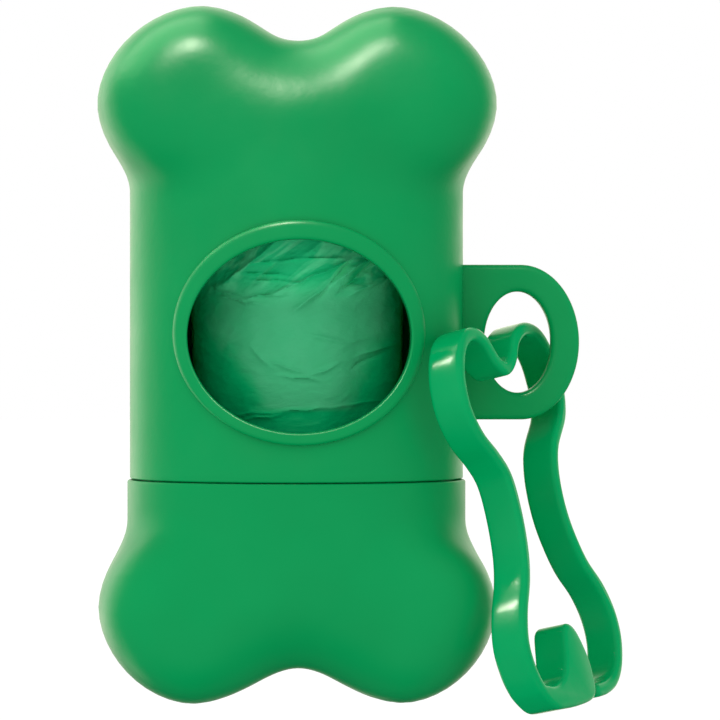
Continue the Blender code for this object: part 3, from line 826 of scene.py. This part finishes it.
def noise_from(tree, place, scale, detail, stretch=(1, 1, 1), turn=0.0, distort=0.0):
    """Noise whose grain is stretched along its own axes, then turned about Y."""
    mapping = add(tree, "ShaderNodeMapping", vector_type="TEXTURE")
    mapping.inputs["Rotation"].default_value = (0, math.radians(turn), 0)
    mapping.inputs["Scale"].default_value = stretch
    tree.links.new(place, mapping.inputs["Vector"])
    grain = add(tree, "ShaderNodeTexNoise", Scale=scale, Detail=detail, Distortion=distort)
    tree.links.new(mapping.outputs["Vector"], grain.inputs["Vector"])
    return grain.outputs["Fac"]


def ranged(tree, value, start, end, low, high, smooth=False):
    """A value from start to end, mapped to run from low to high and held there beyond."""
    node = add(tree, "ShaderNodeMapRange")
    if smooth:
        node.interpolation_type = "SMOOTHSTEP"
    for socket, number in zip(("From Min", "From Max", "To Min", "To Max"), (start, end, low, high)):
        node.inputs[socket].default_value = number
    tree.links.new(value, node.inputs["Value"])
    return node.outputs["Result"]


def maths(tree, operation, *values):
    """Values may be numbers or the outputs of other nodes."""
    node = add(tree, "ShaderNodeMath", operation=operation)
    for socket, value in zip(node.inputs, values):
        if isinstance(value, (int, float)):
            socket.default_value = value
        else:
            tree.links.new(value, socket)
    return node.outputs[0]


def blend_colours(tree, factor, first, second):
    """Colours may be numbers or the outputs of other nodes."""
    node = add(tree, "ShaderNodeMix", data_type="RGBA")
    tree.links.new(factor, node.inputs["Factor"])
    for name, colour in (("A", first), ("B", second)):
        sockets = [socket for socket in node.inputs if socket.name == name and socket.type == "RGBA"]
        if isinstance(colour, tuple):
            sockets[0].default_value = (*colour, 1)
        else:
            tree.links.new(colour, sockets[0])
    return [socket for socket in node.outputs if socket.type == "RGBA"][0]


def bumped(tree, shader, layers):
    """Bump layers of (height, distance in mm, strength), each on top of the one before."""
    normal = None
    for height, distance, strength in layers:
        node = add(tree, "ShaderNodeBump")
        node.inputs["Strength"].default_value = strength
        node.inputs["Distance"].default_value = distance * MM
        tree.links.new(height, node.inputs["Height"])
        if normal:
            tree.links.new(normal, node.inputs["Normal"])
        normal = node.outputs["Normal"]
    tree.links.new(normal, shader.inputs["Normal"])


def plastic(name, dark, light, roughness, specular, texture):
    """Moulded plastic, with a faint waviness and a fine grain."""
    material, tree, shader = new_material(name)
    place = add(tree, "ShaderNodeTexCoord").outputs["Object"]
    clouds = noise_from(tree, place, 55.0, 3.0)
    colour = blend_colours(tree, ranged(tree, clouds, 0.3, 0.7, 0, 1), dark, light)
    tree.links.new(colour, shader.inputs["Base Color"])
    shader.inputs["Specular IOR Level"].default_value = specular
    fine = noise_from(tree, place, 2200.0, 2.0)
    skin_relief = noise_from(tree, place, 620.0, 2.0)
    waves = noise_from(tree, place, 130.0, 1.0)
    spread = 0.04
    patches = noise_from(tree, place, 160.0, 3.0)
    patchy = ranged(tree, patches, 0.3, 0.7, roughness - spread, roughness + spread)
    tree.links.new(patchy, shader.inputs["Roughness"])
    bumped(tree, shader, [(waves, 0.12, texture), (skin_relief, 0.035, texture), (fine, 0.005, texture)])
    return material


def film_plastic(name):
    """Thin film: deeper green where it is pulled tight, and paler in a patch over the middle. That patch
    is partly the film's own milky tone where it stands off the layer below, and partly a painted sheen
    where light comes in through the window.
    """
    material, tree, shader = new_material(name)
    place = add(tree, "ShaderNodeTexCoord").outputs["Object"]
    parts = add(tree, "ShaderNodeSeparateXYZ")
    tree.links.new(place, parts.inputs[0])
    # The milky patch narrows towards its foot. It is partly a painted sheen shaped like the light that
    # comes in through the window.
    across = maths(tree, "ADD", parts.outputs["X"], EYE_X - MILKY_SHEEN_X)
    height = maths(tree, "ADD", parts.outputs["Z"], LUG_Z)
    clouds = noise_from(tree, place, 260.0, 4.0, distort=0.4)
    wide = ranged(tree, height, *MILKY_SHEEN_SIDE_Z, *MILKY_SHEEN_HALF_WIDTH, True)
    wide = maths(tree, "ADD", wide, ranged(tree, clouds, 0.3, 0.7, -MILKY_SHEEN_WAVER, MILKY_SHEEN_WAVER))
    depth_in = maths(tree, "SUBTRACT", wide, maths(tree, "ABSOLUTE", across))
    inside = ranged(tree, depth_in, -MILKY_SHEEN_EDGE, MILKY_SHEEN_EDGE, 0, 1, True)
    above = ranged(tree, height, *MILKY_SHEEN_FOOT_Z, 0, 1, True)
    streaks = noise_from(tree, place, 620.0, 2.0, (7, 1, 1), -36.0, 0.25)
    tight = ranged(tree, streaks, 0.42, 0.56, 0.85, 0.0, True)
    tight = maths(tree, "MULTIPLY", tight, ranged(tree, height, *STREAKED_Z, 0, 1, True))
    milky_sheen = maths(tree, "MULTIPLY", inside, maths(tree, "SUBTRACT", above, tight))
    milky_sheen = maths(tree, "MULTIPLY", milky_sheen, ranged(tree, clouds, 0.25, 0.75, 0.8, 1.0))
    # Towards the top both tones are painted paler. This is painted light that lifts the shade the rim
    # casts on the film there.
    painted_light = ranged(tree, height, *PAINTED_LIGHT_Z, 0, 1, True)
    low = blend_colours(tree, milky_sheen, FILM_TIGHT, FILM_MILKY_SHEEN)
    top = blend_colours(tree, milky_sheen, FILM_TIGHT_PAINTED_LIT, FILM_MILKY_SHEEN_PAINTED_LIT)
    tree.links.new(blend_colours(tree, painted_light, low, top), shader.inputs["Base Color"])
    tree.links.new(ranged(tree, clouds, 0.3, 0.7, 0.28, 0.4), shader.inputs["Roughness"])
    shader.inputs["Specular IOR Level"].default_value = 0.12
    wrinkles = noise_from(tree, place, 560.0, 3.0, (2.4, 1, 0.8), -10.0, 0.6)
    upper = ranged(tree, height, *CREASED_Z, 0.12, 1, True)
    relief = maths(tree, "MULTIPLY", streaks, upper)
    bumped(tree, shader, [(relief, 0.5, 0.7), (wrinkles, 0.22, 0.7)])
    return material


def board(name, dark, light):
    """Cardboard whose fibres run along the tube."""
    material, tree, shader = new_material(name)
    place = add(tree, "ShaderNodeTexCoord").outputs["Object"]
    fibres = noise_from(tree, place, 900.0, 4.0, (1, 1, 6))
    spots = noise_from(tree, place, 240.0, 3.0)
    colour = blend_colours(tree, ranged(tree, fibres, 0.3, 0.7, 0, 1), dark, light)
    tree.links.new(colour, shader.inputs["Base Color"])
    tree.links.new(ranged(tree, spots, 0.3, 0.7, 0.8, 0.95), shader.inputs["Roughness"])
    bumped(tree, shader, [(fibres, 0.06, 0.6)])
    return material


def finish_piece(obj, material, body, nodes):
    """Moves a piece into the world, gives it its material and its body, and hides the CAD nodes it stands
    for.
    """
    obj.data.transform(TO_WORLD)
    obj.data.materials.clear()
    obj.data.materials.append(material)
    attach(obj, body)
    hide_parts(*nodes)


# --- Stage ------------------------------------------------------------------------------------
def area_light(name, place, aim, size, power, colour):
    light = bpy.data.lights.new(name, "AREA")
    light.shape = "RECTANGLE"
    light.size, light.size_y = size
    light.energy = power
    light.color = colour
    obj = bpy.data.objects.new(name, light)
    obj.location = place
    obj.rotation_euler = (Vector(aim) - Vector(place)).to_track_quat("-Z", "Y").to_euler()
    obj.visible_camera = False
    bpy.context.scene.collection.objects.link(obj)
    return obj


def sun(name, direction, strength, angle):
    light = bpy.data.lights.new(name, "SUN")
    light.energy = strength
    light.angle = math.radians(angle)
    obj = bpy.data.objects.new(name, light)
    obj.rotation_euler = Vector(direction).to_track_quat("-Z", "Y").to_euler()
    bpy.context.scene.collection.objects.link(obj)
    return obj


def mix_shaders(tree, factor, first, second):
    node = add(tree, "ShaderNodeMixShader")
    for socket, value in zip(node.inputs, (factor, first, second)):
        tree.links.new(value, socket)
    return node.outputs[0]


def make_world():
    """Soft light from all round, which gloss sees as a dark room with a pale backdrop."""
    world = bpy.data.worlds.new("studio")
    bpy.context.scene.world = world
    world.use_nodes = True
    world.cycles.sampling_method = "NONE"
    tree = world.node_tree
    tree.nodes.clear()
    out = add(tree, "ShaderNodeOutputWorld")
    path = add(tree, "ShaderNodeLightPath")
    seen = add(tree, "ShaderNodeBackground", Color=(1, 1, 1, 1), Strength=1.0)
    parts = add(tree, "ShaderNodeSeparateXYZ")
    tree.links.new(add(tree, "ShaderNodeTexCoord").outputs["Generated"], parts.inputs[0])
    # The fill is even from all round and fades out below.
    fill = add(tree, "ShaderNodeBackground", Color=(1, 1, 1, 1))
    strength = ranged(tree, parts.outputs["Z"], *FILL_FADE_Z, FILL_BELOW, FILL_LIGHT, True)
    tree.links.new(strength, fill.inputs["Strength"])
    # Gloss sees a dark room in front of the object and a pale backdrop behind it.
    backdrop = add(tree, "ShaderNodeBackground", Color=(*GLOSS_TINT, 1))
    behind = ranged(tree, parts.outputs["Y"], *BACKDROP_Y, 0, BACKDROP_GLOSS, True)
    not_under = ranged(tree, parts.outputs["Z"], *BACKDROP_FOOT_Z, 0, 1, True)
    tree.links.new(maths(tree, "MULTIPLY", behind, not_under), backdrop.inputs["Strength"])
    room = mix_shaders(tree, path.outputs["Is Glossy Ray"], fill.outputs[0], backdrop.outputs[0])
    shown = mix_shaders(tree, path.outputs["Is Camera Ray"], room, seen.outputs[0])
    tree.links.new(shown, out.inputs[0])


def make_floor(bottom):
    # In use the dispenser hangs by its eye, so the floor lies below the cap when that is pulled off.
    z = bottom - FLOOR_DROP
    half = FLOOR_HALF_WIDTH
    corners = [(-half, -half, z), (half, -half, z), (half, half, z), (-half, half, z)]
    floor = object_from("floor", corners, [(0, 1, 2, 3)], recalculate=False)
    material, _, shader = new_material("floor_paint")
    shader.inputs["Base Color"].default_value = (0.8, 0.8, 0.8, 1)
    shader.inputs["Roughness"].default_value = 0.9
    shader.inputs["Specular IOR Level"].default_value = 0.0
    shader.inputs["Emission Color"].default_value = (1, 1, 1, 1)
    shader.inputs["Emission Strength"].default_value = 0.3
    floor.data.materials.append(material)
    floor.visible_glossy = False
    floor.visible_diffuse = False


def light_gloss():
    """Lights that only show as highlights, each on the pieces it is meant for."""
    for name, place, aim, size, power, lit in GLOSS_LIGHTS:
        light = area_light(name, place, aim, size, power, GLOSS_TINT)
        light.visible_diffuse = False
        receivers = bpy.data.collections.new(name + "_pieces")
        for piece in lit:
            receivers.objects.link(bpy.data.objects[piece])
        light.light_linking.receiver_collection = receivers


def make_camera():
    camera = bpy.data.cameras.new("camera")
    camera.lens = CAMERA_LENS
    camera.sensor_width = 36.0
    camera.clip_start = 0.01
    camera.clip_end = 20.0
    obj = bpy.data.objects.new("camera", camera)
    yaw = math.radians(CAMERA_YAW)
    forward = Vector((math.sin(yaw), math.cos(yaw), 0))
    obj.location = TO_WORLD @ Vector(CAMERA_AIM) - forward * CAMERA_DISTANCE
    obj.rotation_euler = forward.to_track_quat("-Z", "Y").to_euler()
    bpy.context.scene.collection.objects.link(obj)
    bpy.context.scene.camera = obj


def main():
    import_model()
    cad_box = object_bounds()
    make_camera()
    make_world()
    make_floor(cad_box[0][2])
    key = sun("key_sun", KEY_DIRECTION, KEY_STRENGTH, KEY_ANGLE)
    key.visible_glossy = False
    green = plastic("shell_plastic", SHELL_DARK, SHELL_LIGHT, roughness=0.34, specular=0.15, texture=0.8)
    cap_green = plastic("cap_plastic", SHELL_DARK, SHELL_LIGHT, roughness=0.36, specular=0.15, texture=0.6)
    clip_green = plastic("clip_plastic", CLIP_DARK, CLIP_LIGHT, roughness=0.19, specular=0.3, texture=0.5)
    film = film_plastic("film")
    board_brown = board("board", BOARD_DARK, BOARD_LIGHT)
    finish_piece(make_shell(), green, "shell", ["upper_shell"])
    finish_piece(make_cap(), cap_green, "cap", ["lower_cap"])
    loop, spring = make_clip()
    finish_piece(loop, clip_green, "clip", ["clip_body"])
    spring.data.transform(TO_WORLD)
    spring.data.materials.append(clip_green)
    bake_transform(spring)
    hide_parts("clip_gate")
    finish_piece(make_winding(), film, "roll", ["bag_roll"])
    finish_piece(make_core(), board_brown, "roll", ["roll_core"])
    loose = make_loose_film()
    finish_piece(loose, film, "roll", ["leading_bag"])
    light_gloss()
    bpy.context.scene.view_settings.view_transform = "Standard"


main()
